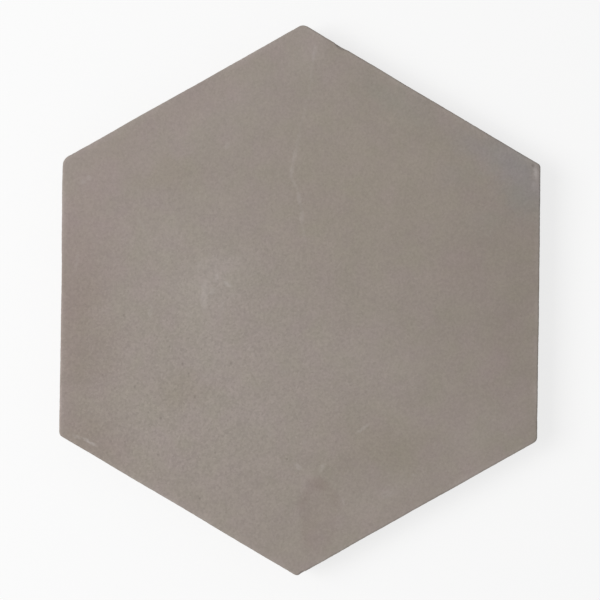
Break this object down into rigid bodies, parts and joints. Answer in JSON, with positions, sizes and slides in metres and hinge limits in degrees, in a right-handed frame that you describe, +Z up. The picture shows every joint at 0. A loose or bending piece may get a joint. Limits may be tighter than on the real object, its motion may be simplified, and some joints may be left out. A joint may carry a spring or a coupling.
{
  "type": "hexagon floor tile",
  "caption": "Plain hexagonal floor tile pressed from taupe pigmented cement, bedded on its back and laid edge to edge to pave a floor.",
  "frame": {"origin": "middle of the back, in the plane of its rim", "axes": "+Z up out of the walked-on face, +X out of the middle of a flat side, +Y out of a corner"},
  "size_m": [0.2, 0.2302, 0.016],
  "materials": {
    "pigmented_cement": "matte"
  },
  "bodies": {
    "root": {"hexagon_tile": "pigmented_cement"}
  },
  "joints": []
}
